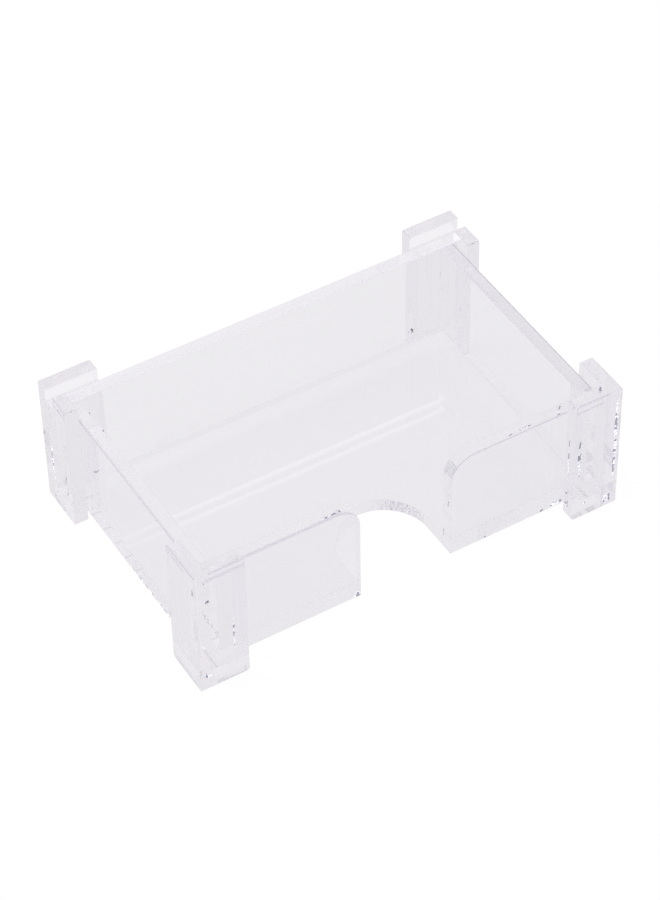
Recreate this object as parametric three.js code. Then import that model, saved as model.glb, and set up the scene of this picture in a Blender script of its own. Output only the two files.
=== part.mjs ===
// Stackable business card tray, cut from clear acrylic sheet and cemented.
// Five upright walls and a floor make the well. At each corner two narrow
// strips stand outside the walls: they reach below the floor as feet and
// above the wall tops as ears, so that a second tray can stand on the first.
// Lengths are in millimetres. X runs along the front, Y towards the back and
// Z up. The origin is in the middle of the tray, on the surface it stands on.

import * as THREE from 'three';

// The largest common business card, and the room left around it.
const CARD_LENGTH = 91.0;
const CARD_BREADTH = 55.0;
const CLEARANCE_ALONG_CARD = 1.1;
const CLEARANCE_ACROSS_CARD = 0.5;

// Every piece is cut from one sheet, and cemented with a thin film between.
const SHEET = 3.2;
const CEMENT_FILM = 0.05;

// Heights: the feet below the walls, the walls, and the ears above them.
const FOOT_HEIGHT = 3.1;
const WALL_HEIGHT = 27.7;
const EAR_HEIGHT = 3.7;

// The corner posts: how far each reaches from its corner, along the front or
// the back, and along the side. Their free ends have slightly rounded corners.
const FRONT_POST_REACH_X = 11.8;
const FRONT_POST_REACH_Y = 11.8;
const REAR_POST_REACH_X = 12.8;
const REAR_POST_REACH_Y = 12.3;
const POST_CORNER_RADIUS = 0.8;

// The back wall has a foot at each end, which fills the corner between the
// feet of the strips. Above the wall's top the corner stays open as a slot.
const BACK_WALL_FOOT = SHEET;

// The finger cut-out: a gap in the front wall that runs on into the floor.
const FINGER_GAP = 22.6;
const FINGER_REACH = 17.2;
const PANEL_CORNER_RADIUS = 6.0;

// Points on a quarter turn of a rounded corner.
const CORNER_STEPS = 6;
const FINGER_STEPS = 24;

// Worked out from the sizes above.
const WELL_X = CARD_LENGTH + CLEARANCE_ALONG_CARD;
const WELL_Y = CARD_BREADTH + CLEARANCE_ACROSS_CARD;
const RIM = 2 * SHEET + CEMENT_FILM;
const RIGHT = WELL_X / 2 + RIM;
const BACK = WELL_Y / 2 + RIM;
const LEFT = -RIGHT;
const FRONT = -BACK;
const STRIP_HEIGHT = FOOT_HEIGHT + WALL_HEIGHT + EAR_HEIGHT;
const WALL_SETBACK = SHEET + CEMENT_FILM;

// Clear colourless acrylic, with a faint violet grey where it is seen edge on.
function clearAcrylic(colour) {
  return new THREE.MeshStandardMaterial({
    color: colour,
    roughness: 0.05,
    metalness: 0.0,
    transparent: true,
    opacity: 0.35,
  });
}

const FACE_COLOUR = 0xe6e4ea;
const STRIP_COLOUR = 0xdedce4;

// A rectangle from (0, 0) to (width, height) whose corners can be rounded.
// The radii go round from the lower left corner, anticlockwise.
function roundedRectangle(width, height, radii) {
  const [lowerLeft, lowerRight, upperRight, upperLeft] = radii;
  const outline = new THREE.Shape();
  outline.moveTo(lowerLeft, 0);
  outline.lineTo(width - lowerRight, 0);
  if (lowerRight > 0) {
    outline.absarc(width - lowerRight, lowerRight, lowerRight, -Math.PI / 2, 0, false);
  }
  outline.lineTo(width, height - upperRight);
  if (upperRight > 0) {
    outline.absarc(width - upperRight, height - upperRight, upperRight, 0, Math.PI / 2, false);
  }
  outline.lineTo(upperLeft, height);
  if (upperLeft > 0) {
    outline.absarc(upperLeft, height - upperLeft, upperLeft, Math.PI / 2, Math.PI, false);
  }
  outline.lineTo(0, lowerLeft);
  if (lowerLeft > 0) {
    outline.absarc(lowerLeft, lowerLeft, lowerLeft, Math.PI, 1.5 * Math.PI, false);
  }
  return outline;
}

// One sheet thickness of an outline.
function cutFromSheet(outline, curveSegments) {
  return new THREE.ExtrudeGeometry(outline, {
    depth: SHEET,
    bevelEnabled: false,
    steps: 1,
    curveSegments,
  });
}

// A plate parallel to the front, with its lower left front corner at (x, y, z).
function plateAlongX(name, outline, x, y, z, colour) {
  const geometry = cutFromSheet(outline, CORNER_STEPS);
  geometry.rotateX(Math.PI / 2);
  const plate = new THREE.Mesh(geometry, clearAcrylic(colour));
  plate.name = name;
  plate.position.set(x, y + SHEET, z);
  return plate;
}

// A plate parallel to the side, with its front lower left corner at (x, y, z).
function plateAlongY(name, outline, x, y, z, colour) {
  const geometry = cutFromSheet(outline, CORNER_STEPS);
  geometry.rotateX(Math.PI / 2);
  geometry.rotateZ(Math.PI / 2);
  const plate = new THREE.Mesh(geometry, clearAcrylic(colour));
  plate.name = name;
  plate.position.set(x, y, z);
  return plate;
}

const tray = new THREE.Group();

// The back wall runs the full width of the tray, behind the side walls, and
// stands on a foot at each end.
function backWall() {
  const width = RIGHT - LEFT;
  const top = FOOT_HEIGHT + WALL_HEIGHT;
  const outline = new THREE.Shape();
  outline.moveTo(0, 0);
  outline.lineTo(BACK_WALL_FOOT, 0);
  outline.lineTo(BACK_WALL_FOOT, FOOT_HEIGHT);
  outline.lineTo(width - BACK_WALL_FOOT, FOOT_HEIGHT);
  outline.lineTo(width - BACK_WALL_FOOT, 0);
  outline.lineTo(width, 0);
  outline.lineTo(width, top);
  outline.lineTo(0, top);
  outline.closePath();
  const y = BACK - WALL_SETBACK - SHEET;
  return plateAlongX('back_wall', outline, LEFT, y, 0, FACE_COLOUR);
}

// The side walls stand between the back wall and the front panels.
function sideWall(name, x) {
  const front = FRONT + WALL_SETBACK + SHEET + CEMENT_FILM;
  const back = BACK - WALL_SETBACK - SHEET - CEMENT_FILM;
  const outline = roundedRectangle(back - front, WALL_HEIGHT, [0, 0, 0, 0]);
  return plateAlongY(name, outline, x, front, FOOT_HEIGHT, FACE_COLOUR);
}

// The front wall is two panels, with a round corner each side of the gap.
// Their outer ends meet the corner strips of the sides.
function frontPanel(name, x, radii) {
  const length = (RIGHT - WALL_SETBACK) - FINGER_GAP / 2;
  const outline = roundedRectangle(length, WALL_HEIGHT, radii);
  return plateAlongX(name, outline, x, FRONT + WALL_SETBACK, FOOT_HEIGHT, FACE_COLOUR);
}

// The floor fills the well between the walls, flush with their lower edges.
// Its notch has straight sides in line with the panel ends and a round end.
function floorPlate() {
  const halfLength = WELL_X / 2 - CEMENT_FILM;
  const halfBreadth = WELL_Y / 2 - CEMENT_FILM;
  const notchRadius = FINGER_GAP / 2;
  const notchCentre = -WELL_Y / 2 + FINGER_REACH - notchRadius;
  const outline = new THREE.Shape();
  outline.moveTo(-halfLength, -halfBreadth);
  outline.lineTo(-notchRadius, -halfBreadth);
  outline.lineTo(-notchRadius, notchCentre);
  outline.absarc(0, notchCentre, notchRadius, Math.PI, 0, true);
  outline.lineTo(notchRadius, -halfBreadth);
  outline.lineTo(halfLength, -halfBreadth);
  outline.lineTo(halfLength, halfBreadth);
  outline.lineTo(-halfLength, halfBreadth);
  outline.closePath();
  const plate = new THREE.Mesh(cutFromSheet(outline, FINGER_STEPS), clearAcrylic(FACE_COLOUR));
  plate.name = 'floor_plate';
  plate.position.set(0, 0, FOOT_HEIGHT);
  return plate;
}

// A corner strip that lies along the front or the back. Its free end, away
// from the corner of the tray, has rounded corners.
function stripAlongX(name, left, right, y, freeEndIsRight) {
  const r = POST_CORNER_RADIUS;
  const radii = freeEndIsRight ? [0, r, r, 0] : [r, 0, 0, r];
  const outline = roundedRectangle(right - left, STRIP_HEIGHT, radii);
  return plateAlongX(name, outline, left, y, 0, STRIP_COLOUR);
}

// A corner strip that lies along a side.
function stripAlongY(name, x, front, back, freeEndIsBack) {
  const r = POST_CORNER_RADIUS;
  const radii = freeEndIsBack ? [0, r, r, 0] : [r, 0, 0, r];
  const outline = roundedRectangle(back - front, STRIP_HEIGHT, radii);
  return plateAlongY(name, outline, x, front, 0, STRIP_COLOUR);
}

// The rear corners: the end of the back wall stands between the back strip,
// which reaches the outer corner, and the end of the side strip.
function rearPost(side) {
  const backY = BACK - SHEET;
  const sideBack = BACK - WALL_SETBACK - SHEET - CEMENT_FILM;
  const sideFront = BACK - REAR_POST_REACH_Y;
  if (side === 'left') {
    return [
      stripAlongX('rear_left_back_strip', LEFT, LEFT + REAR_POST_REACH_X, backY, true),
      stripAlongY('rear_left_side_strip', LEFT, sideFront, sideBack, false),
    ];
  }
  return [
    stripAlongX('rear_right_back_strip', RIGHT - REAR_POST_REACH_X, RIGHT, backY, false),
    stripAlongY('rear_right_side_strip', RIGHT - SHEET, sideFront, sideBack, false),
  ];
}

// The front corners: the side strip reaches the outer corner, and the front
// strip meets its inner face.
function frontPost(side) {
  const sideBack = FRONT + FRONT_POST_REACH_Y;
  if (side === 'left') {
    const buttEnd = LEFT + WALL_SETBACK;
    const freeEnd = LEFT + FRONT_POST_REACH_X;
    return [
      stripAlongY('front_left_side_strip', LEFT, FRONT, sideBack, true),
      stripAlongX('front_left_front_strip', buttEnd, freeEnd, FRONT, true),
    ];
  }
  const buttEnd = RIGHT - WALL_SETBACK;
  const freeEnd = RIGHT - FRONT_POST_REACH_X;
  return [
    stripAlongY('front_right_side_strip', RIGHT - SHEET, FRONT, sideBack, true),
    stripAlongX('front_right_front_strip', freeEnd, buttEnd, FRONT, false),
  ];
}

tray.add(floorPlate());
tray.add(backWall());
tray.add(sideWall('left_wall', LEFT + WALL_SETBACK));
tray.add(sideWall('right_wall', RIGHT - WALL_SETBACK - SHEET));
tray.add(frontPanel('front_left_panel', LEFT + WALL_SETBACK, [0, 0, PANEL_CORNER_RADIUS, 0]));
tray.add(frontPanel('front_right_panel', FINGER_GAP / 2, [0, 0, 0, PANEL_CORNER_RADIUS]));
tray.add(...rearPost('left'), ...rearPost('right'));
tray.add(...frontPost('left'), ...frontPost('right'));

export default tray;
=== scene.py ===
# %% [markdown]
# # A clear acrylic business card tray
# The tray is an open box of clear, colourless acrylic sheet. Two narrow strips
# stand outside the walls at each corner: they are the feet below and the ears
# above, so that trays can be stacked. Every piece is cut from 3.2 mm sheet and
# cemented. This lesson loads the construction model, sets the camera and the
# light, mixes the finishes of the acrylic, and then models each sheet with
# real edges and joints.
#
# The construction model gives the size and the place of every piece. It is loaded first, and its
# box is kept.

# %% Load the construction model
import math
from collections import namedtuple

import bmesh
import bpy
from mathutils import Matrix, Vector


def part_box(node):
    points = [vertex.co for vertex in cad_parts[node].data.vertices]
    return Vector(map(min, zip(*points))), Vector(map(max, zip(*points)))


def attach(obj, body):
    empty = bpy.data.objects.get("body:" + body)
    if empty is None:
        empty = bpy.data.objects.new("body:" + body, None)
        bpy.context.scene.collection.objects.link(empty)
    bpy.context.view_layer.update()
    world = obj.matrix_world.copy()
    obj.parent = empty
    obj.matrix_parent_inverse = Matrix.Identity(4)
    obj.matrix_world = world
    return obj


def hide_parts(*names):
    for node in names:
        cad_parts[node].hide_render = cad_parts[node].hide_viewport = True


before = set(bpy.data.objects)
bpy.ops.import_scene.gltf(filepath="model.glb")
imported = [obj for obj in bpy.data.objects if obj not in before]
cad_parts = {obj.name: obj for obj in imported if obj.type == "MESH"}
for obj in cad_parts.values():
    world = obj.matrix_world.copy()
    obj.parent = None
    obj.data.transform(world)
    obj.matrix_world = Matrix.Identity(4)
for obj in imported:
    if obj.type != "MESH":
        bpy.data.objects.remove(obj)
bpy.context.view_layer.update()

MM = 0.001

# %% [markdown]
# ## Camera
# A small product is photographed from well back with a long lens, so that its
# edges stay nearly parallel. The angles and the distance below put every
# corner of the tray where the photograph has it.

# %% Camera
CAMERA_AZIMUTH = math.radians(-30.24)
CAMERA_ELEVATION = math.radians(45.21)
CAMERA_ROLL = math.radians(-1.21)
CAMERA_DISTANCE = 681.7 * MM
CAMERA_TARGET = Vector((-0.87, -1.19, 16.0)) * MM
LENS_MM = 125.27

tilt_down = math.pi / 2 - CAMERA_ELEVATION
turn = Matrix.Rotation(CAMERA_AZIMUTH, 3, "Z")
turn = turn @ Matrix.Rotation(tilt_down, 3, "X") @ Matrix.Rotation(CAMERA_ROLL, 3, "Z")
camera_data = bpy.data.cameras.new("product_camera")
camera_data.lens = LENS_MM
camera = bpy.data.objects.new("product_camera", camera_data)
camera.matrix_world = turn.to_4x4()
camera.location = CAMERA_TARGET + turn @ Vector((0, 0, CAMERA_DISTANCE))
bpy.context.scene.collection.objects.link(camera)
bpy.context.scene.camera = camera
bpy.context.scene.view_settings.view_transform = "Standard"
print("camera stands at", [round(v, 3) for v in camera.location])

# %% [markdown]
# Light passes through up to six sheets, and each has two surfaces. Where it is
# caught between the faces of one sheet it is mirrored many times more, so a
# path needs many bounces before it leaves. Cut short, it turns black.

# %% Bounces for clear sheets
SURFACES_ON_A_PATH = 256

cycles = bpy.context.scene.cycles
cycles.max_bounces = SURFACES_ON_A_PATH
cycles.transmission_bounces = SURFACES_ON_A_PATH
cycles.glossy_bounces = SURFACES_ON_A_PATH
cycles.transparent_max_bounces = SURFACES_ON_A_PATH
cycles.volume_bounces = 0
print("surfaces on a path:", SURFACES_ON_A_PATH)

# %% [markdown]
# ## Colours and nodes
# Colours are written as the hex values that a screen shows, and one function
# turns them to the linear values that the renderer works in. A second one adds
# a node with its settings, values and links in a single line, so that each
# material below reads like a recipe. A Mix Shader shows its shader 1 where its
# share is 0, and its shader 2 where the share is 1.

# %% Helpers for materials
WHITE = (1, 1, 1, 1)


def linear(hex_colour):
    """The linear red, green, blue and alpha of a colour such as "F4F3F6"."""
    shares = [int(hex_colour[i : i + 2], 16) / 255 for i in (0, 2, 4)]
    return [s / 12.92 if s <= 0.04045 else ((s + 0.055) / 1.055) ** 2.4 for s in shares] + [1.0]


def enabled_input(node, socket):
    """An input by its number, or the one in use that has this name."""
    if isinstance(socket, int):
        return node.inputs[socket]
    return next(i for i in node.inputs if i.name == socket and i.enabled)


def add_node(tree, kind, values=None, links=None, **settings):
    """Adds a node, sets its properties and input values, and links its inputs."""
    node = tree.nodes.new(kind)
    for name, value in settings.items():
        setattr(node, name, value)
    for socket, value in (values or {}).items():
        enabled_input(node, socket).default_value = value
    for socket, source in (links or {}).items():
        tree.links.new(source, enabled_input(node, socket))
    return node


def new_material(name):
    """An empty node material, and its tree."""
    material = bpy.data.materials.new(name)
    material.use_nodes = True
    material.node_tree.nodes.clear()
    return material, material.node_tree


print("F4F3F6 is", [round(share, 3) for share in linear("F4F3F6")[:3]], "in linear light")

# %% [markdown]
# The Light Path node tells the kinds of rays apart. Camera rays come straight
# from the eye. Glossy rays were mirrored last, and transmission rays came
# through a clear piece. The table and the room show each kind its own white.

# %% Kinds of rays
def ray_is(tree, *kinds):
    """An output that is 1 for rays of any of these kinds, and 0 for others."""
    path = add_node(tree, "ShaderNodeLightPath")
    seen = path.outputs[kinds[0]]
    for kind in kinds[1:]:
        links = {0: seen, 1: path.outputs[kind]}
        seen = add_node(tree, "ShaderNodeMath", links=links, operation="MAXIMUM").outputs[0]
    return seen


THROUGH_RAYS = ("Is Glossy Ray", "Is Transmission Ray")
SEEING_RAYS = ("Is Camera Ray", *THROUGH_RAYS)
print("rays that see the white:", ", ".join(SEEING_RAYS))

# %% [markdown]
# ## Table and light
# Clear acrylic has no colour of its own: what shows is what it bends and
# mirrors. The table is white and plain. It could be lit until it shows as
# white, but then each lamp would change the white and the shadow together. So
# it glows for the rays that see it, and a small matt share takes the light of
# the lamps and the tray's shadow. Through the tray the same table is a light
# grey, as in the photograph.

# %% White table
TABLE_SIZE = 3.0
TABLE_BELOW_FEET = 0.02 * MM
TABLE_WHITE = "FAFAFA"
TABLE_SHADOW_SHARE = 0.09
TABLE_SEEN_THROUGH = 0.833
WHITE_SEEN_THROUGH = "FEFCFF"

bpy.ops.object.select_all(action="DESELECT")
bpy.ops.mesh.primitive_plane_add(size=TABLE_SIZE, location=(0, 0, -TABLE_BELOW_FEET))
table = bpy.context.object
table.name = "white_table"

# Laminate scatters light evenly, so the shadow on it is soft and has no shine.
material, tree = new_material("white matt laminate table")
matt = add_node(tree, "ShaderNodeBsdfDiffuse", {"Color": linear(TABLE_WHITE)})
white = add_node(tree, "ShaderNodeEmission", {"Color": WHITE, "Strength": 1.0})
values = {"Color": linear(WHITE_SEEN_THROUGH), "Strength": TABLE_SEEN_THROUGH}
dimmer = add_node(tree, "ShaderNodeEmission", values)
links = {0: ray_is(tree, *THROUGH_RAYS), 1: white.outputs[0], 2: dimmer.outputs[0]}
glow = add_node(tree, "ShaderNodeMixShader", links=links)
values = {1: 1 - TABLE_SHADOW_SHARE}
links = {0: ray_is(tree, *SEEING_RAYS)}
share = add_node(tree, "ShaderNodeMath", values, links, operation="MULTIPLY")
links = {0: share.outputs[0], 1: matt.outputs[0], 2: glow.outputs[0]}
surface = add_node(tree, "ShaderNodeMixShader", links=links)
add_node(tree, "ShaderNodeOutputMaterial", links={"Surface": surface.outputs[0]})
table.data.materials.append(material)
print("table is", TABLE_SIZE, "m wide")

# %% [markdown]
# The room is what the sheets mirror and what the upward rays see. It could be
# a picture of a studio, but every lamp and window in it would show in the
# sheets. So it is drawn from two soft steps. Seen by the camera it is plain
# white. For rays that pass the tray it is a light grey that falls off a
# little towards the ceiling, and once more behind the camera, which is the
# dark side of such a room. These small steps draw the edges of something that
# is otherwise invisible.

# %% Room
ROOM_LIGHT = 0.5
HORIZON_WHITE = 0.85
CEILING_GREY = 0.84
DARK_SIDE = turn @ Vector((0, 0, 1))
DARK_SIDE_GREY = 0.85
# The ceiling's step is measured by the sine of the height above the horizon,
# and the dark side's by the cosine of the angle to its middle.
CEILING_FROM, CEILING_TO = 0.25, 0.7
DARK_SIDE_FROM, DARK_SIDE_TO = 0.97, 0.985

world = bpy.data.worlds.new("white room")
bpy.context.scene.world = world
world.use_nodes = True
tree = world.node_tree
tree.nodes.clear()
direction = add_node(tree, "ShaderNodeTexCoord").outputs["Generated"]
height = add_node(tree, "ShaderNodeSeparateXYZ", links={0: direction}).outputs["Z"]
facing = add_node(
    tree, "ShaderNodeVectorMath", {1: DARK_SIDE}, {0: direction}, operation="DOT_PRODUCT"
).outputs["Value"]
soft = {"interpolation_type": "SMOOTHSTEP"}
values = {"From Min": CEILING_FROM, "From Max": CEILING_TO}
values |= {"To Min": HORIZON_WHITE, "To Max": CEILING_GREY}
up = add_node(tree, "ShaderNodeMapRange", values, {"Value": height}, **soft).outputs[0]
values = {"From Min": DARK_SIDE_FROM, "From Max": DARK_SIDE_TO}
values |= {"To Min": 1.0, "To Max": DARK_SIDE_GREY}
dark = add_node(tree, "ShaderNodeMapRange", values, {"Value": facing}, **soft).outputs[0]
room = add_node(tree, "ShaderNodeMath", links={0: up, 1: dark}, operation="MULTIPLY").outputs[0]
plain = add_node(tree, "ShaderNodeBackground", {"Color": WHITE, "Strength": ROOM_LIGHT})
values = {"Color": linear(WHITE_SEEN_THROUGH)}
seen = add_node(tree, "ShaderNodeBackground", values, {"Strength": room})
backdrop = add_node(tree, "ShaderNodeBackground", {"Color": WHITE, "Strength": 1.0})
links = {0: ray_is(tree, *THROUGH_RAYS), 1: plain.outputs[0], 2: seen.outputs[0]}
lit = add_node(tree, "ShaderNodeMixShader", links=links)
links = {0: ray_is(tree, "Is Camera Ray"), 1: lit.outputs[0], 2: backdrop.outputs[0]}
surface = add_node(tree, "ShaderNodeMixShader", links=links)
add_node(tree, "ShaderNodeOutputWorld", links={"Surface": surface.outputs[0]})
print("room light:", ROOM_LIGHT)

# %% [markdown]
# Two softboxes light the table's matt share and throw the tray's faint shadow:
# a large one from behind on the left, and a smaller one from the front right
# that fills the shadow. A lamp that shows in a clear sheet makes a hard white
# patch, which the photograph doesn't have, so the mirrored and the bent rays
# don't see them.

# %% Softboxes
def softbox(name, place, size, watts):
    """A square lamp of this size in metres, turned to face the tray."""
    data = bpy.data.lights.new(name, "AREA")
    data.shape = "SQUARE"
    data.size = size
    data.energy = watts
    lamp = bpy.data.objects.new(name, data)
    lamp.location = place
    lamp.rotation_mode = "QUATERNION"
    lamp.rotation_quaternion = Vector(place).to_track_quat("Z", "Y")
    lamp.visible_glossy = False
    lamp.visible_transmission = False
    bpy.context.scene.collection.objects.link(lamp)
    print(name, "of", size, "m and", watts, "W")


softbox("key_softbox", place=(-0.45, 0.35, 0.75), size=0.45, watts=6.0)
softbox("fill_softbox", place=(0.70, -0.25, 0.60), size=0.35, watts=3.0)

# %% [markdown]
# ## Trapped air and painted glints
# Where the cement hasn't run all the way, air stays between two sheets. Such a place sparkles:
# light bits beside dark and violet ones. These sparkles are painted glints: their light and shade
# are painted into the surface's colour, and the light bits get a painted glow. It could be
# modelled as tiny bubbles, but they are smaller than a pixel. So a mask marks each place, as an
# ellipsoid, and noise breaks it into grains whose height picks the painted shade. The shades end
# at a middle grey, because the photograph has no black in them.

# %% Trapped air and painted glints
# The middle of each place and its half size along x, y and z, in millimetres.
AIR_GLINT_PLACES = [
    ((43.2, -31.0, 16.5), (0.45, 0.6, 5.5)),
    ((51.3, -34.2, 20.0), (0.40, 0.6, 11.5)),
    ((50.0, -34.2, 2.2), (1.20, 0.6, 1.3)),
    ((44.0, -34.2, 3.9), (0.35, 0.3, 0.35)),
    ((-43.2, -31.0, 12.0), (0.20, 0.3, 4.5)),
    ((-50.5, -34.2, 4.2), (0.80, 0.6, 0.9)),
    ((38.7, -31.0, 4.0), (1.60, 0.3, 0.6)),
    ((35.0, -31.0, 3.5), (0.50, 0.3, 0.4)),
    ((-12.2, -31.0, 4.0), (1.00, 0.3, 1.0)),
    ((-49.3, -7.0, 3.5), (0.20, 10.0, 0.25)),
    ((-52.5, 30.5, 12.5), (0.30, 0.35, 5.5)),
    ((-52.5, 30.8, 1.8), (0.30, 0.50, 0.5)),
    ((-40.6, 31.0, 5.6), (0.60, 0.3, 0.7)),
    ((49.3, 18.9, 9.9), (0.30, 0.60, 0.7)),
    ((39.1, 31.0, 7.4), (0.70, 0.3, 0.8)),
]
# Inside a place there is air with a painted glint where the noise passes the first limit below,
# and each darker painted shade has a limit of its own above that.
AIR_GLINT_FROM = 0.43
AIR_GLINT_LIGHT = "FBFAFF"
AIR_GLINT_SHADES = ((0.50, "D8D6E4"), (0.515, "9A9AC6"), (0.53, "8E8D98"))
AIR_GLINT_GRAIN = (0.8 * MM, 0.8 * MM, 1.3 * MM)


def grains(tree, place, size):
    """Soft noise whose grains have this size in metres along each axis."""
    stretched = add_node(tree, "ShaderNodeVectorMath", {1: size}, {0: place}, operation="DIVIDE")
    values, links = {"Scale": 1.0, "Detail": 1.0}, {"Vector": stretched.outputs[0]}
    return add_node(tree, "ShaderNodeTexNoise", values, links).outputs["Fac"]


def trapped_air_and_glints(tree, place):
    """The mask of trapped air with its painted glints, and the noise that picks their painted
    light and shade.
    """
    nearest = None
    for middle, half in AIR_GLINT_PLACES:
        values = {
            1: [1 / (h * MM) for h in half],
            2: [-m / h for m, h in zip(middle, half)],
        }
        offset = add_node(
            tree, "ShaderNodeVectorMath", values, {0: place}, operation="MULTIPLY_ADD"
        ).outputs[0]
        length = add_node(tree, "ShaderNodeVectorMath", links={0: offset}, operation="LENGTH")
        away = length.outputs["Value"]
        if nearest:
            links = {0: nearest, 1: away}
            away = add_node(tree, "ShaderNodeMath", links=links, operation="MINIMUM").outputs[0]
        nearest = away
    near = add_node(tree, "ShaderNodeMath", {1: 1.0}, {0: nearest}, operation="LESS_THAN")
    grain = grains(tree, place, AIR_GLINT_GRAIN)
    broken = add_node(tree, "ShaderNodeMath", {1: AIR_GLINT_FROM}, {0: grain}, operation="GREATER_THAN")
    links = {0: near.outputs[0], 1: broken.outputs[0]}
    air_glints = add_node(tree, "ShaderNodeMath", links=links, operation="MULTIPLY").outputs[0]
    return air_glints, grain


def air_glint_colour(tree, grain):
    """Painted glint colour: a painted highlight, with a darker painted shade for each limit that
    the grain passes.
    """
    colour = add_node(tree, "ShaderNodeRGB").outputs[0]
    colour.default_value = linear(AIR_GLINT_LIGHT)
    for limit, shade in AIR_GLINT_SHADES:
        passed = add_node(tree, "ShaderNodeMath", {1: limit}, {0: grain}, operation="GREATER_THAN")
        values, links = {"B": linear(shade)}, {"Factor": passed.outputs[0], "A": colour}
        colour = add_node(tree, "ShaderNodeMix", values, links, data_type="RGBA").outputs[2]
    return colour


print("places with trapped air:", len(AIR_GLINT_PLACES))

# %% [markdown]
# ## The body of the acrylic
# Long ways through acrylic look lavender grey, because the plastic takes up a
# very little of the light and scatters a little of it back. Light that is
# caught between the faces goes such a long way. With absorption alone it
# would end black, so the volume also glows by just as much as it takes, and a
# very long way ends at the colour of the haze.

# %% Depth and haze
DEPTH_TINT = "D6D3E0"
DEPTH_PER_METRE = 0.5
HAZE = "DAD6E8"


def haze_light():
    """What the haze in the acrylic adds, so that a very long way ends at its colour."""
    lost = [1 - share for share in linear(DEPTH_TINT)[:3]]
    return [glow * share for glow, share in zip(linear(HAZE)[:3], lost)] + [1.0]


def add_body(tree, surface):
    """Ends an acrylic material: its surface shader, and the body behind it."""
    values = {"Color": linear(DEPTH_TINT), "Density": DEPTH_PER_METRE}
    depth = add_node(tree, "ShaderNodeVolumeAbsorption", values)
    values = {"Color": haze_light(), "Strength": DEPTH_PER_METRE}
    haze = add_node(tree, "ShaderNodeEmission", values)
    body = add_node(tree, "ShaderNodeAddShader", links={0: depth.outputs[0], 1: haze.outputs[0]})
    links = {"Surface": surface, "Volume": body.outputs[0]}
    add_node(tree, "ShaderNodeOutputMaterial", links=links)


print("haze adds", [round(share, 3) for share in haze_light()[:3]])

# %% [markdown]
# ## Relief and smudges
# The surfaces of the acrylic differ in their fine relief and in how rough they
# are. The relief could be modelled, but it is at most some hundredths of a
# millimetre deep, so a bump of that depth bends the light instead. Handling
# leaves smudges, so the roughness varies between two values over some
# millimetres.

# %% Relief and smudges
SMUDGE_SIZE = 9 * MM
SMUDGE_DETAIL = 3.0


def relief_of(tree, place, grain, depth):
    """The fine relief of a surface, drawn by a bump of this depth."""
    links = {"Height": grains(tree, place, grain)}
    return add_node(tree, "ShaderNodeBump", {"Distance": depth}, links).outputs[0]


def smudged(tree, place, smooth, handled):
    """A roughness that varies between a smooth and a handled value."""
    values = {"Scale": 1 / SMUDGE_SIZE, "Detail": SMUDGE_DETAIL}
    smudges = add_node(tree, "ShaderNodeTexNoise", values, {"Vector": place}).outputs["Fac"]
    values = {"To Min": smooth, "To Max": handled}
    return add_node(tree, "ShaderNodeMapRange", values, {"Value": smudges}).outputs[0]


print("smudges are", round(SMUDGE_SIZE / MM, 1), "mm wide")

# %% [markdown]
# ## Light from the edges
# A clear sheet gathers light over its faces and lets it out at its edges, which is why they look
# brighter than what is behind them. The renderer would need very many paths to find this light, so
# it is added as a weak glow. The trapped air places glow too, as painted glints. One edge also
# shows as a light line where a face mirrors it, so it can glow more for rays that were mirrored
# exactly once, as a painted reflection.

# %% Glow
# Painted glow of the light bits in the trapped air's glints.
AIR_GLINT_GLOW = 0.45
ONE_MIRROR, MIRROR_MARGIN = 1.0, 0.1


def glow_of(tree, air_glints, own_glow, mirrored_glow):
    """How strongly a surface glows: its air's painted glints, its own light, and mirrored once."""
    values = {1: AIR_GLINT_GLOW, 2: own_glow}
    glow = add_node(tree, "ShaderNodeMath", values, {0: air_glints}, operation="MULTIPLY_ADD").outputs[0]
    mirrors = add_node(tree, "ShaderNodeLightPath").outputs["Glossy Depth"]
    values = {1: ONE_MIRROR, 2: MIRROR_MARGIN}
    once = add_node(tree, "ShaderNodeMath", values, {0: mirrors}, operation="COMPARE").outputs[0]
    values, links = {1: mirrored_glow}, {0: once, 2: glow}
    return add_node(tree, "ShaderNodeMath", values, links, operation="MULTIPLY_ADD").outputs[0]


print("trapped air glows with a strength of", AIR_GLINT_GLOW)

# %% [markdown]
# ## The surface of the acrylic
# Cast acrylic bends light with an index of 1.49, and all its surfaces share one recipe. Where air
# is trapped the surface isn't clear, and has the air's colour with its painted glints: painted
# highlights and painted shade. Rays on their way to a lamp pass straight through with a faint
# tint, because bent rays would hardly ever hit a lamp, and the shadow would be black.

# %% Acrylic surface
ACRYLIC_IOR = 1.49
SHADOW_TINT = linear("F6F5F8")


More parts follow.
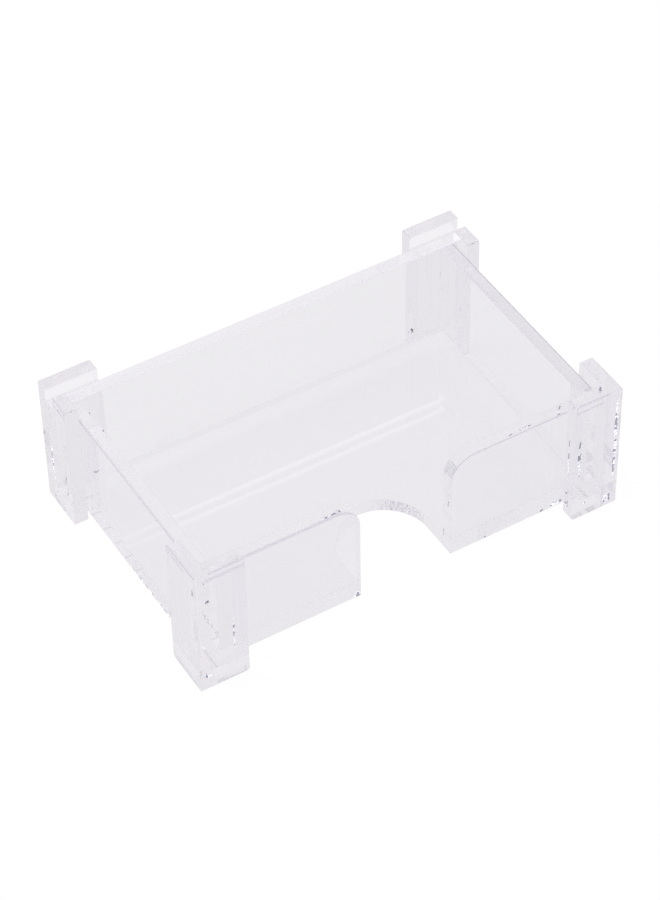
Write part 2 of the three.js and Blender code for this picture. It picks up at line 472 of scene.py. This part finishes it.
def acrylic_surface(
    tree,
    tint,
    roughness,
    relief,
    lets_through=SHADOW_TINT,
    own_glow=0.0,
    mirrored_glow=0.0,
):
    """The shader of a clear surface, and the mask of trapped air and painted glints on it."""
    place = add_node(tree, "ShaderNodeTexCoord").outputs["Object"]
    air_glints, grain = trapped_air_and_glints(tree, place)
    # Painted glints: the air's painted light and shade go into the base colour and the glow.
    links = {"Factor": air_glints, "B": air_glint_colour(tree, grain)}
    values = {"A": linear(tint)}
    colour = add_node(tree, "ShaderNodeMix", values, links, data_type="RGBA").outputs[2]
    see_through = add_node(tree, "ShaderNodeMath", {0: 1.0}, {1: air_glints}, operation="SUBTRACT")
    links = {
        "Base Color": colour,
        "Emission Color": colour,
        "Emission Strength": glow_of(tree, air_glints, own_glow, mirrored_glow),
        "Transmission Weight": see_through.outputs[0],
        "Roughness": smudged(tree, place, *roughness),
        "Normal": relief_of(tree, place, *relief),
    }
    clear = add_node(tree, "ShaderNodeBsdfPrincipled", {"IOR": ACRYLIC_IOR}, links)
    lets_lamps = add_node(tree, "ShaderNodeBsdfTransparent", {"Color": lets_through})
    links = {0: ray_is(tree, "Is Shadow Ray"), 1: clear.outputs[0], 2: lets_lamps.outputs[0]}
    return add_node(tree, "ShaderNodeMixShader", links=links).outputs[0], air_glints


def acrylic(name, tint, roughness, relief, **light):
    """A whole acrylic material for one kind of surface."""
    material, tree = new_material(name)
    surface, air_glints = acrylic_surface(tree, tint, roughness, relief, **light)
    add_body(tree, surface)
    print(name, "has", len(tree.nodes), "nodes")
    return material


print("acrylic bends light with an index of", ACRYLIC_IOR)

# %% [markdown]
# ## Faces and sawn edges
# The faces of the sheet are cast against glass: almost perfectly smooth, with
# a very faint long wave that makes straight lines behind them swim. The edges
# are sawn and polished, so they are a little hazy and keep fine saw lines. On
# the real edge these are finer than a pixel. They are drawn coarser, as an
# upright grain 0.8 mm wide and 6 mm long, so that they still show.

# %% Finishes of faces and sawn edges
FACE_TINT = "FDFDFE"
FACE_ROUGHNESS = (0.0, 0.01)
FACE_RELIEF = ((40 * MM, 40 * MM, 25 * MM), 0.02 * MM)
SAW_LINES = (0.8 * MM, 0.8 * MM, 6 * MM)
SAWN_ROUGHNESS = (0.0, 0.05)
SAWN_RELIEF = (SAW_LINES, 0.0003 * MM)
EDGE_LIGHT = (1.45, 1.45, 1.45, 1.0)
STRIP_EDGE_TINT = "FCFAFD"
TOP_GLOW = 0.05
MIRRORED_GLOW = 1.0
SHADED_TINT = "F3F0F6"

# Nearly no tint and no roughness: the eye sees the table through it, unblurred.
face_acrylic = acrylic("cast acrylic, polished face", FACE_TINT, FACE_ROUGHNESS, FACE_RELIEF)

# Edges pass on the light that the sheet gathers, and lift the shadow below.
sawn = {"roughness": SAWN_ROUGHNESS, "relief": SAWN_RELIEF, "lets_through": EDGE_LIGHT}
edge_acrylic = acrylic("cast acrylic, sawn and polished edge", FACE_TINT, **sawn)

# A narrow strip is seen through many times, and looks a shade more violet.
strip_edge_acrylic = acrylic(
    "cast acrylic, sawn edge of a narrow strip", STRIP_EDGE_TINT, **sawn
)

# The back wall's top shows as a soft double line where the floor mirrors it.
top_acrylic = acrylic(
    "cast acrylic, sawn edge that gathers light",
    FACE_TINT,
    own_glow=TOP_GLOW,
    mirrored_glow=MIRRORED_GLOW,
    **sawn,
)

# The right wall's top gathers less light than the others: a violet grey band.
shaded_acrylic = acrylic("cast acrylic, sawn edge in the shade", SHADED_TINT, **sawn)

# %% [markdown]
# ## Broken edges
# Where two surfaces meet, the sharp edge is broken with a scraper. That leaves
# a narrow band, frosted by fine scratches, and this band is what draws the
# thin violet outline of the tray. The band itself is modelled further down.
# Here it gets its finish: more roughness and a deeper relief than a sawn edge,
# in four kinds for the lines that look different in the photograph.

# %% Finishes of broken edges
SCRAPED_ROUGHNESS = (0.25, 0.35)
FINE_ROUGHNESS = (0.1, 0.2)
SCRAPED_RELIEF = (SAW_LINES, 0.001 * MM)
CORNER_TINT = "F2F0F8"
# Painted shade for the scraped line of the shaded sheet.
SHADED_CORNER_TINT = "AEABBA"
FINE_TINT = "F6F5FA"
LIT_GLOW = 0.15

# Frosted by the scraper: it blurs what is behind it to a thin violet line.
corner_acrylic = acrylic(
    "cast acrylic, scraped corner", CORNER_TINT, SCRAPED_ROUGHNESS, SCRAPED_RELIEF
)

# Painted shade: on the shaded right wall this scraped line is tinted a darker grey than the
# others.
shaded_corner_acrylic = acrylic(
    "cast acrylic, scraped corner in painted shade", SHADED_CORNER_TINT, SCRAPED_ROUGHNESS, SCRAPED_RELIEF
)

# Only just broken: a hair line, a little less clear than the face beside it.
fine_acrylic = acrylic(
    "cast acrylic, fine broken edge", FINE_TINT, FINE_ROUGHNESS, SCRAPED_RELIEF
)

# Frosted and lit from inside the sheet, so it is a hair line of light.
lit_acrylic = acrylic(
    "cast acrylic, broken edge in the light",
    FINE_TINT,
    SCRAPED_ROUGHNESS,
    SCRAPED_RELIEF,
    own_glow=LIT_GLOW,
)

# %% [markdown]
# ## Cement
# The cement is a solvent: it melts the two faces into one, and where it has
# run the joint shows no surface at all. It is fed in along the wall and stops
# short of the free end of each strip and of its foot, with a rounded, wavy
# front. Beyond that front the two faces are still apart and mirror like any
# other face. So the joint needs no body of its own: each touching face gets a
# material that is either transparent or acrylic. A UV map tells it how far it
# is from the free end and from the bottom of the joint.

# %% Cement joints
DRY_MARGIN = 2.2 * MM
DRY_BOTTOM = 3.5 * MM
CEMENT_CORNER = 3.0 * MM
WOBBLE = 1.0 * MM
WOBBLE_LENGTH = 5 * MM
WOBBLE_DETAIL = 2.0
JOINT_MAP = "joint"


def cement():
    """The cement: no surface where it has run, a plain face where it hasn't."""
    material, tree = new_material("solvent cement joint")
    glass, air_glints = acrylic_surface(tree, FACE_TINT, FACE_ROUGHNESS, FACE_RELIEF)
    place = add_node(tree, "ShaderNodeTexCoord").outputs["Object"]
    along = add_node(tree, "ShaderNodeUVMap", uv_map=JOINT_MAP).outputs[0]
    values = {"Scale": 1 / WOBBLE_LENGTH, "Detail": WOBBLE_DETAIL}
    waves = add_node(tree, "ShaderNodeTexNoise", values, {"Vector": place}).outputs["Color"]
    values, links = {"Scale": WOBBLE}, {0: waves}
    wobble = add_node(tree, "ShaderNodeVectorMath", values, links, operation="SCALE").outputs[0]
    front = [-(m + CEMENT_CORNER - WOBBLE / 2) for m in (DRY_MARGIN, DRY_BOTTOM)] + [0.0]
    # How far a point falls short of the rounded front: it is wavy, all that is
    # behind it counts as 0, and only the two axes of the UV map are measured.
    offset = along
    for operation, values, links in (
        ("ADD", {}, {1: wobble}),
        ("ADD", {1: front}, {}),
        ("MINIMUM", {1: (0, 0, 0)}, {}),
        ("MULTIPLY", {1: (1, 1, 0)}, {}),
        ("LENGTH", {}, {}),
    ):
        links = {0: offset} | links
        step = add_node(tree, "ShaderNodeVectorMath", values, links, operation=operation)
        offset = step.outputs[0]
    values, links = {1: CEMENT_CORNER}, {0: step.outputs["Value"]}
    wet = add_node(tree, "ShaderNodeMath", values, links, operation="LESS_THAN").outputs[0]
    joined = add_node(tree, "ShaderNodeMath", links={0: wet, 1: air_glints}, operation="SUBTRACT")
    through = add_node(tree, "ShaderNodeBsdfTransparent", {"Color": WHITE})
    links = {0: joined.outputs[0], 1: glass, 2: through.outputs[0]}
    add_body(tree, add_node(tree, "ShaderNodeMixShader", links=links).outputs[0])
    print("the cement stops", DRY_MARGIN / MM, "mm before the free end of a strip")
    return material


cement_joint = cement()

# %% [markdown]
# ## Where the sheets are
# The construction model gives the box of each piece. The back wall isn't one
# box: it stands on a foot at each end, so it is listed as three blocks. Two
# small questions come up again and again, and get a function each: which face
# of an upright sheet looks outwards, and where a corner strip ends.

# %% Boxes and blocks
boxes = {name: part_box(name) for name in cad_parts}
blocks = {name: [box] for name, box in boxes.items()}
low, high = boxes["back_wall"]
foot_height = boxes["floor_plate"][0].z
foot_length = high.y - low.y
blocks["back_wall"] = [
    (Vector((low.x, low.y, foot_height)), high),
    (low, Vector((low.x + foot_length, high.y, foot_height))),
    (Vector((high.x - foot_length, low.y, low.z)), Vector((high.x, high.y, foot_height))),
]


def is_strip(name):
    """Whether this piece is one of the narrow strips at the corners."""
    return name.endswith("_strip")


def outer_face(name):
    """The axis across an upright sheet and the level of its outer face, or None."""
    low, high = boxes[name]
    thin = min(range(3), key=lambda a: high[a] - low[a])
    if thin == 2:
        return None
    return thin, high[thin] if abs(high[thin]) > abs(low[thin]) else low[thin]


def free_end(name):
    """The axis along a corner strip, and the place of its free end."""
    low, high = boxes[name]
    axis = 1 if "side" in name else 0
    return axis, (low[axis] if abs(low[axis]) < abs(high[axis]) else high[axis])


print("the back wall's feet are", round(foot_height / MM, 2), "mm high")

# %% [markdown]
# ## How wide the edges are broken
# No cut sheet has perfectly sharp edges. The outer top edges are scraped
# wider, because hands touch them, and the others are only just broken. Each
# width is a share of one full width, which is what the Bevel modifier asks
# for later. The scraped width also tells where a joint starts, so these sizes
# come before the joints.

# %% Sizes of the broken edges
EDGE_BREAK = 0.8 * MM
OUTER_EDGE = {"front_left_panel": 0.6, "front_right_panel": 0.3, "back_wall": 0.3}
OUTER_EDGE_ELSEWHERE = 0.45


def outer_edge(name):
    """The share of the full break along a sheet's outer top edge."""
    return OUTER_EDGE.get(name, OUTER_EDGE_ELSEWHERE)


def scraped_width(name):
    """How wide the corner of a sheet's outer top edge is scraped off."""
    return EDGE_BREAK * outer_edge(name)


for name in ("front_left_panel", "front_right_panel", "back_wall", "left_wall"):
    print(name, "is scraped", round(scraped_width(name) / MM, 2), "mm wide")

# %% [markdown]
# ## Contacts
# Cemented faces need a material of their own, so it has to be known where the
# sheets touch. The joints could be drawn by hand, but each has to match on
# both pieces. So every pair of blocks is compared along the three axes. Where
# two faces lie at the same level and overlap, there is a contact: a rectangle
# with a lowest and a highest corner. A contact under a scraped top edge ends
# below it, because the scraper has taken the corner away.

# %% Which faces touch
# The film of cement between two sheets is thinner than the first of these.
TOUCHING = 0.1 * MM
SAME_LEVEL = 0.01 * MM
# A flat face looks along an axis when its normal has at least this share of it.
FACES_AXIS = 0.999
Contact = namedtuple("Contact", "other axis side level low high")


def overlap(one, two, axis):
    """The lowest and highest corner of what two blocks share, seen along an axis."""
    lowest = Vector([max(a, b) for a, b in zip(one[0], two[0])])
    highest = Vector([min(a, b) for a, b in zip(one[1], two[1])])
    shared = all(highest[a] - lowest[a] > TOUCHING for a in range(3) if a != axis)
    return (lowest, highest) if shared else None


def below_scraped_edge(area, name, other, axis):
    """A contact area, less the scraped top of a wall where a strip covers its outside."""
    lowest, highest = area
    for wall, strip in ((name, other), (other, name)):
        face = outer_face(wall)
        covers = is_strip(strip) and not is_strip(wall)
        outside = face and face[0] == axis and abs(lowest[axis] - face[1]) < TOUCHING
        if covers and outside and boxes[wall][1].z - highest.z < TOUCHING:
            highest = highest - Vector((0, 0, scraped_width(wall)))
    return lowest, highest


def touching(name):
    """All the contacts of a piece with the others."""
    found = []
    neighbours = [
        (own, other, theirs)
        for own in blocks[name]
        for other in blocks
        if other != name
        for theirs in blocks[other]
    ]
    for own, other, theirs in neighbours:
        for axis in range(3):
            area = overlap(own, theirs, axis)
            if not area:
                continue
            area = below_scraped_edge(area, name, other, axis)
            if abs(theirs[0][axis] - own[1][axis]) < TOUCHING:
                found.append(Contact(other, axis, 1, own[1][axis], *area))
            if abs(own[0][axis] - theirs[1][axis]) < TOUCHING:
                found.append(Contact(other, axis, -1, own[0][axis], *area))
    return found


def on_contact(point, contact):
    """Whether a point lies on a contact area or on its border."""
    for axis in range(3):
        lowest, highest, margin = contact.low[axis], contact.high[axis], TOUCHING
        if axis == contact.axis:
            lowest, highest, margin = contact.level, contact.level, SAME_LEVEL
        if not lowest - margin < point[axis] < highest + margin:
            return False
    return True


def lies_in_plane(face, contact):
    """Whether a flat face looks to the contact's side, at its level."""
    faces_it = face.normal[contact.axis] * contact.side > FACES_AXIS
    away = abs(face.calc_center_median()[contact.axis] - contact.level)
    return faces_it and away < SAME_LEVEL


for name in ("floor_plate", "back_wall"):
    print(name, "touches", sorted({contact.other for contact in touching(name)}))

# %% [markdown]
# ## Modelling a sheet
# Every piece starts as a block at the size and place that the construction
# gives it. A real sheet is sawn to its outline first and has its edges broken
# last, so the model is made in the same order: round the corners that the
# real piece has round, break the sharp edges, and then cut the faces that
# touch a neighbour, so that the cement has faces of its own. The helpers below
# pick edges and faces by their place, as a hand would with the mouse.

# %% Blocks and round corners
def select_alone(piece):
    """Makes this piece the active one, and the only one selected."""
    bpy.ops.object.select_all(action="DESELECT")
    piece.select_set(True)
    bpy.context.view_layer.objects.active = piece


def edit(piece):
    """Starts editing this piece alone, with nothing selected."""
    select_alone(piece)
    bpy.ops.object.mode_set(mode="EDIT")
    bpy.ops.mesh.select_all(action="DESELECT")
    return bmesh.from_edit_mesh(piece.data)


def select_faces(piece, wanted):
    """In edit mode, selects the faces that are wanted, and says how many."""
    bpy.ops.mesh.select_mode(type="FACE")
    mesh = bmesh.from_edit_mesh(piece.data)
    for face in mesh.faces:
        face.select = wanted(face)
    bmesh.update_edit_mesh(piece.data)
    return sum(face.select for face in mesh.faces)


def block(name, low, high):
    """A box of acrylic between two corners, with its origin at the world's."""
    bpy.ops.object.select_all(action="DESELECT")
    bpy.ops.mesh.primitive_cube_add(size=1.0, location=(low + high) / 2, scale=high - low)
    piece = bpy.context.object
    piece.name = name
    piece.data.name = name
    bpy.ops.object.transform_apply(location=True, rotation=True, scale=True)
    return piece


def round_corners(piece, thin, places, radius, segments):
    """Rounds the edges that run through the sheet's thickness at these places."""
    mesh = edit(piece)
    across = [axis for axis in range(3) if axis != thin]
    bpy.ops.mesh.select_mode(type="EDGE")
    for edge in mesh.edges:
        ends = [vertex.co for vertex in edge.verts]
        for place in places:
            if all(abs(end[a] - place[a]) < TOUCHING for end in ends for a in across):
                edge.select = True
    bmesh.update_edit_mesh(piece.data)
    bpy.ops.mesh.bevel(offset=radius, segments=segments, affect="EDGES")
    bpy.ops.object.mode_set(mode="OBJECT")
    print(piece.name, "has", len(places), "corners of", round(radius / MM, 2), "mm")


def apply_modifier(piece, kind, **settings):
    """Adds a modifier, sets it and applies it."""
    select_alone(piece)
    modifier = piece.modifiers.new(kind.lower(), kind)
    for name, value in settings.items():
        setattr(modifier, name, value)
    bpy.ops.object.modifier_apply(modifier=modifier.name)


print("pieces to model:", len(boxes))

# %% [markdown]
# ## Breaking the edges
# The Bevel modifier breaks all edges of a piece at once, each by its weight.
# An edge is broken only where it is open. One that lies on a neighbour was
# cemented before anyone could scrape it, so each edge is sampled along its
# length, and one that is mostly covered keeps its sharp corner. Where two
# facets are nearly flat to each other, as on the round corners, there is no
# edge to break.

# %% Break the edges
FINE_EDGE = 0.05
LIT_SHEET, LIT_EDGE = "back_wall", 0.25
SHARP = math.radians(40)
EDGE_SAMPLES = 20
BREAK_SEGMENTS = 3


def in_upper_half(point, name):
    """Whether a point is above the middle of its sheet."""
    low, high = boxes[name]
    return point.z > (low.z + high.z) / 2


def edge_weight(name, start, end):
    """The share of the full break: wide along the outer top, fine elsewhere."""
    face = outer_face(name)
    middle = (start + end) / 2
    if not face or not in_upper_half(middle, name):
        return FINE_EDGE
    if abs(middle[face[0]] - face[1]) > TOUCHING:
        at_top = boxes[name][1].z - middle.z < TOUCHING
        return LIT_EDGE if name == LIT_SHEET and at_top else FINE_EDGE
    # The break tapers to a fine one where an edge turns upright, so that no
    # corner has to join a wide band to a narrow one.
    level = 1 - abs((end - start).normalized().z) ** 2
    return FINE_EDGE + level * (outer_edge(name) - FINE_EDGE)


def is_open(start, end, contacts):
    """Whether less than half of an edge lies on a neighbour."""
    steps = [(i + 0.5) / EDGE_SAMPLES for i in range(EDGE_SAMPLES)]
    points = [start.lerp(end, step) for step in steps]
    covered = sum(any(on_contact(point, contact) for contact in contacts) for point in points)
    return covered < EDGE_SAMPLES / 2


def break_edges(piece, name):
    """Rounds the sharp edges a little, but not those that lie on a neighbour."""
    mesh = edit(piece)
    weight = mesh.edges.layers.float.new("bevel_weight_edge")
    contacts = touching(name)
    count = 0
    for edge in mesh.edges:
        start, end = (vertex.co for vertex in edge.verts)
        if edge.calc_face_angle(0) > SHARP and is_open(start, end, contacts):
            edge[weight] = edge_weight(name, start, end)
            count += 1
    bmesh.update_edit_mesh(piece.data)
    bpy.ops.object.mode_set(mode="OBJECT")
    apply_modifier(
        piece,
        "BEVEL",
        width=EDGE_BREAK,
        segments=BREAK_SEGMENTS,
        limit_method="WEIGHT",
        use_clamp_overlap=False,
        loop_slide=False,
    )
    print(name, "has", count, "open edges")


print("edges sharper than", round(math.degrees(SHARP)), "degrees are broken")

# %% [markdown]
# ## Cutting the joints
# A joint is cut out of its face with the bisect tool, along the four sides of
# the contact. Both pieces get the same rectangle, because light has to leave
# one and enter the other through the same opening. Then the faces inside it
# get the cement, and the UV map that says where the cement's front is.

# %% Joints
# A metre from the free end and from the bottom, so far behind the front.
RUNS_ALL_OVER = (1.0, 1.0)


def cut_joints(piece, name):
    """Cuts the touching faces free, so that the cement has faces of its own."""
    for contact in touching(name):
        for across in [axis for axis in range(3) if axis != contact.axis]:
            for cut in (contact.low[across], contact.high[across]):
                edit(piece)
                selected = select_faces(piece, lambda face: lies_in_plane(face, contact))
                normal = Vector([float(axis == across) for axis in range(3)])
                if selected:
                    bpy.ops.mesh.bisect(plane_co=normal * cut, plane_no=normal)
                bpy.ops.object.mode_set(mode="OBJECT")


def dry_end(name, contact):
    """The axis along a strip and its free end, where the cement stops short of it."""
    for strip, wall in ((name, contact.other), (contact.other, name)):
        if is_strip(strip) and not is_strip(wall):
            along, place = free_end(strip)
            if along != contact.axis:
                return along, place
    return None


def cement_joints(piece, name):
    """Gives the touching faces the cement, and the place along the strip."""
    count = 0
    for contact in touching(name):
        mesh = edit(piece)
        layers = mesh.loops.layers.uv
        uv = layers.get(JOINT_MAP) or layers.new(JOINT_MAP)
        dry = dry_end(name, contact)
        across = [axis for axis in range(3) if axis != contact.axis]
        for face in mesh.faces:
            centre = face.calc_center_median()
            inside = all(contact.low[a] < centre[a] < contact.high[a] for a in across)
            if not inside or not lies_in_plane(face, contact):
                continue
            face.material_index = CEMENT
            count += 1
            for loop in face.loops:
                at = loop.vert.co
                loop[uv].uv = RUNS_ALL_OVER
                if dry:
                    loop[uv].uv = (abs(at[dry[0]] - dry[1]), at.z - contact.low.z)
        bmesh.update_edit_mesh(piece.data)
        bpy.ops.object.mode_set(mode="OBJECT")
    print(name, "has", count, "cemented faces")


print("contacts in the tray:", sum(len(touching(name)) for name in boxes) // 2)

# %% [markdown]
# ## Which finish goes where
# The finishes could be painted on by hand, but each follows from how a facet
# was made, and that can be read from its direction. A facet that looks along
# the sheet's thickness is a cast face, one at right angles to it is a sawn
# edge, and all between are broken edges. These are told apart by their place.

# %% Finish of a facet
FACE, EDGE, SCRAPED, FINE, LIT, TOP, CEMENT = range(7)
SHADED_SHEET = "right_wall"
ALONG_THICKNESS = 0.99
ACROSS_THICKNESS = 0.05
LOOKS_UP = 0.99


def is_scraped(point, name):
    """Whether a facet's middle is on the scraped outer top edge of its sheet."""
    face = outer_face(name)
    if not face or not in_upper_half(point, name):
        return False
    return abs(point[face[0]] - face[1]) < scraped_width(name)


def is_lit(point, name):
    """Whether a facet's middle is on the inner top edge of its sheet."""
    axis, outside = outer_face(name)
    low, high = boxes[name]
    inside = low[axis] + high[axis] - outside
    width = EDGE_BREAK * LIT_EDGE
    return abs(point[axis] - inside) < width and high.z - point.z < width


def sheet_finishes(name):
    """The materials of a sheet, in the order of the numbers above."""
    # On the shaded sheet the scraped line and the top carry painted shade.
    shaded = name == SHADED_SHEET
    return [
        face_acrylic,
        strip_edge_acrylic if is_strip(name) else edge_acrylic,
        shaded_corner_acrylic if shaded else corner_acrylic,
        fine_acrylic,
        lit_acrylic,
        shaded_acrylic if shaded else top_acrylic,
        cement_joint,
    ]


def facet_finish(polygon, name, thin):
    """The number of the finish that a facet has."""
    slant = abs(polygon.normal[thin])
    if name in (LIT_SHEET, SHADED_SHEET) and polygon.normal.z > LOOKS_UP:
        return TOP
    if slant > ALONG_THICKNESS:
        return FACE
    if slant < ACROSS_THICKNESS:
        return EDGE
    if is_scraped(polygon.center, name):
        return SCRAPED
    return LIT if name == LIT_SHEET and is_lit(polygon.center, name) else FINE


print("finishes on a wall:", [finish.name for finish in sheet_finishes("left_wall")])

# %% [markdown]
# ## From block to finished sheet
# The steps run in the order of the workshop: break the edges, cut the joints, then give each facet
# its finish. Last, the shading is smoothed over the small facets, and weighted normals keep the
# large faces perfectly flat, because clear plastic shows the least dent. Each piece is then put
# under the tray's root, and the part of the construction model that it stands for is hidden.

# %% Finish of a sheet
SMOOTH_BELOW = math.radians(10)
FLAT_FACE_WEIGHT = 50


def finish_sheet(piece, name, thin):
    """Edges, joints, shading, and the piece put under the root in place of its hidden part."""
    for material in sheet_finishes(name):
        piece.data.materials.append(material)
    break_edges(piece, name)
    cut_joints(piece, name)
    for polygon in piece.data.polygons:
        polygon.material_index = facet_finish(polygon, name, thin)
    cement_joints(piece, name)
    select_alone(piece)
    bpy.ops.object.shade_smooth_by_angle(angle=SMOOTH_BELOW)
    apply_modifier(
        piece, "WEIGHTED_NORMAL", mode="FACE_AREA", weight=FLAT_FACE_WEIGHT, keep_sharp=True
    )
    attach(piece, "root")
    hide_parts(name)
    print(piece.name, "has", len(piece.data.polygons), "faces")


print("shading is smoothed below", round(math.degrees(SMOOTH_BELOW)), "degrees")

# %% [markdown]
# ## Side walls
# The two side walls are plain rectangles between the back wall and the front
# panels. They could be planes with a Solidify modifier, but a block is
# simpler, and it has its edges where the scraper needs them.

# %% Side walls
for name in ("left_wall", "right_wall"):
    low, high = boxes[name]
    finish_sheet(block(name + "_acrylic", low, high), name, 0)

# %% [markdown]
# ## Back wall
# The back wall runs the full width of the tray and stands on a small foot at
# each end, which fills the corner between the feet of the strips. It is sawn
# from one sheet, so the feet are no extra blocks: the wall is bisected above
# the inner side of each foot, the two ends of its lower edge are extruded
# down, and the lines left on the flat faces are dissolved.

# %% Back wall with its feet
SAME_PLANE = math.radians(1)

low, high = boxes["back_wall"]
wall = block("back_wall_acrylic", *blocks["back_wall"][0])
edit(wall)
for x in (low.x + foot_length, high.x - foot_length):
    select_faces(wall, lambda face: True)
    bpy.ops.mesh.bisect(plane_co=(x, 0, 0), plane_no=(1, 0, 0))


def is_above_foot(face):
    """Whether a face is an end of the wall's lower edge."""
    at_end = abs(face.calc_center_median().x) > high.x - foot_length
    return at_end and face.normal.z < -FACES_AXIS


print("feet to extrude:", select_faces(wall, is_above_foot))
down = (0, 0, low.z - foot_height)
bpy.ops.mesh.extrude_region_move(TRANSFORM_OT_translate={"value": down})
bpy.ops.mesh.select_all(action="SELECT")
bpy.ops.mesh.dissolve_limited(angle_limit=SAME_PLANE)
bpy.ops.object.mode_set(mode="OBJECT")
finish_sheet(wall, "back_wall", 1)

# %% [markdown]
# ## Front panels
# The front wall is two panels with a gap for the fingers between them. The
# upper corner of each is rounded at the gap, where a thumb slides in. An edge
# bevel rounds it, because the outline of a block has just this one corner to
# change. The arc has many segments, as clear plastic shows each facet twice.

# %% Front panels
PANEL_CORNER_RADIUS = 6.0 * MM
PANEL_CORNER_SEGMENTS = 32

for name in ("front_left_panel", "front_right_panel"):
    low, high = boxes[name]
    gap_end = low.x if abs(low.x) < abs(high.x) else high.x
    piece = block(name + "_acrylic", low, high)
    corner = Vector((gap_end, 0, high.z))
    round_corners(piece, 1, [corner], PANEL_CORNER_RADIUS, PANEL_CORNER_SEGMENTS)
    finish_sheet(piece, name, 1)

# %% [markdown]
# ## Corner strips
# Eight narrow strips make the four posts. The two corners at the free end of
# each are slightly rounded by sanding, and the end at the tray's corner is
# left square, because it butts against its neighbour. The strips differ only
# in their size and place, so one loop makes them all.

# %% Corner strips
STRIP_CORNER_RADIUS = 0.8 * MM
STRIP_CORNER_SEGMENTS = 8

for name in filter(is_strip, boxes):
    low, high = boxes[name]
    along, end = free_end(name)
    corners = [Vector((end, end, z)) for z in (low.z, high.z)]
    piece = block(name + "_acrylic", low, high)
    round_corners(piece, 1 - along, corners, STRIP_CORNER_RADIUS, STRIP_CORNER_SEGMENTS)
    finish_sheet(piece, name, 1 - along)

# %% [markdown]
# ## Floor
# The finger gap runs on into the floor as a notch with straight sides and a
# round end. It could be drawn as an outline and extruded, but a cutter is
# closer to the real thing, where a router takes it out: a cylinder is halved,
# its flat side is pulled out past the floor's front edge, and a Boolean
# modifier cuts with it.

# %% Floor with its finger notch
NOTCH_DEPTH = 17.2 * MM
NOTCH_SIDES = 256
CUTTER_IN_SHEETS = 3

low, high = boxes["floor_plate"]
panel_low, panel_high = boxes["front_right_panel"]
notch_radius = panel_low.x
notch_centre = panel_high.y + NOTCH_DEPTH - notch_radius
floor = block("floor_plate_acrylic", low, high)
bpy.ops.object.select_all(action="DESELECT")
bpy.ops.mesh.primitive_cylinder_add(
    vertices=NOTCH_SIDES,
    radius=notch_radius,
    depth=CUTTER_IN_SHEETS * (high.z - low.z),
    location=(0, notch_centre, (low.z + high.z) / 2),
)
cutter = bpy.context.object
bpy.ops.object.transform_apply(location=True, rotation=True, scale=True)
bpy.ops.object.mode_set(mode="EDIT")
bpy.ops.mesh.select_all(action="SELECT")
bpy.ops.mesh.bisect(
    plane_co=(0, notch_centre, 0), plane_no=(0, 1, 0), use_fill=True, clear_inner=True
)
bpy.ops.mesh.select_all(action="DESELECT")
select_faces(cutter, lambda face: face.normal.y < -FACES_AXIS)
bpy.ops.mesh.extrude_region_move(TRANSFORM_OT_translate={"value": (0, -NOTCH_DEPTH, 0)})
bpy.ops.object.mode_set(mode="OBJECT")
apply_modifier(floor, "BOOLEAN", object=cutter, operation="DIFFERENCE", solver="EXACT")
bpy.data.objects.remove(cutter)
print("the notch is", round(2 * notch_radius / MM, 2), "mm wide")
finish_sheet(floor, "floor_plate", 2)
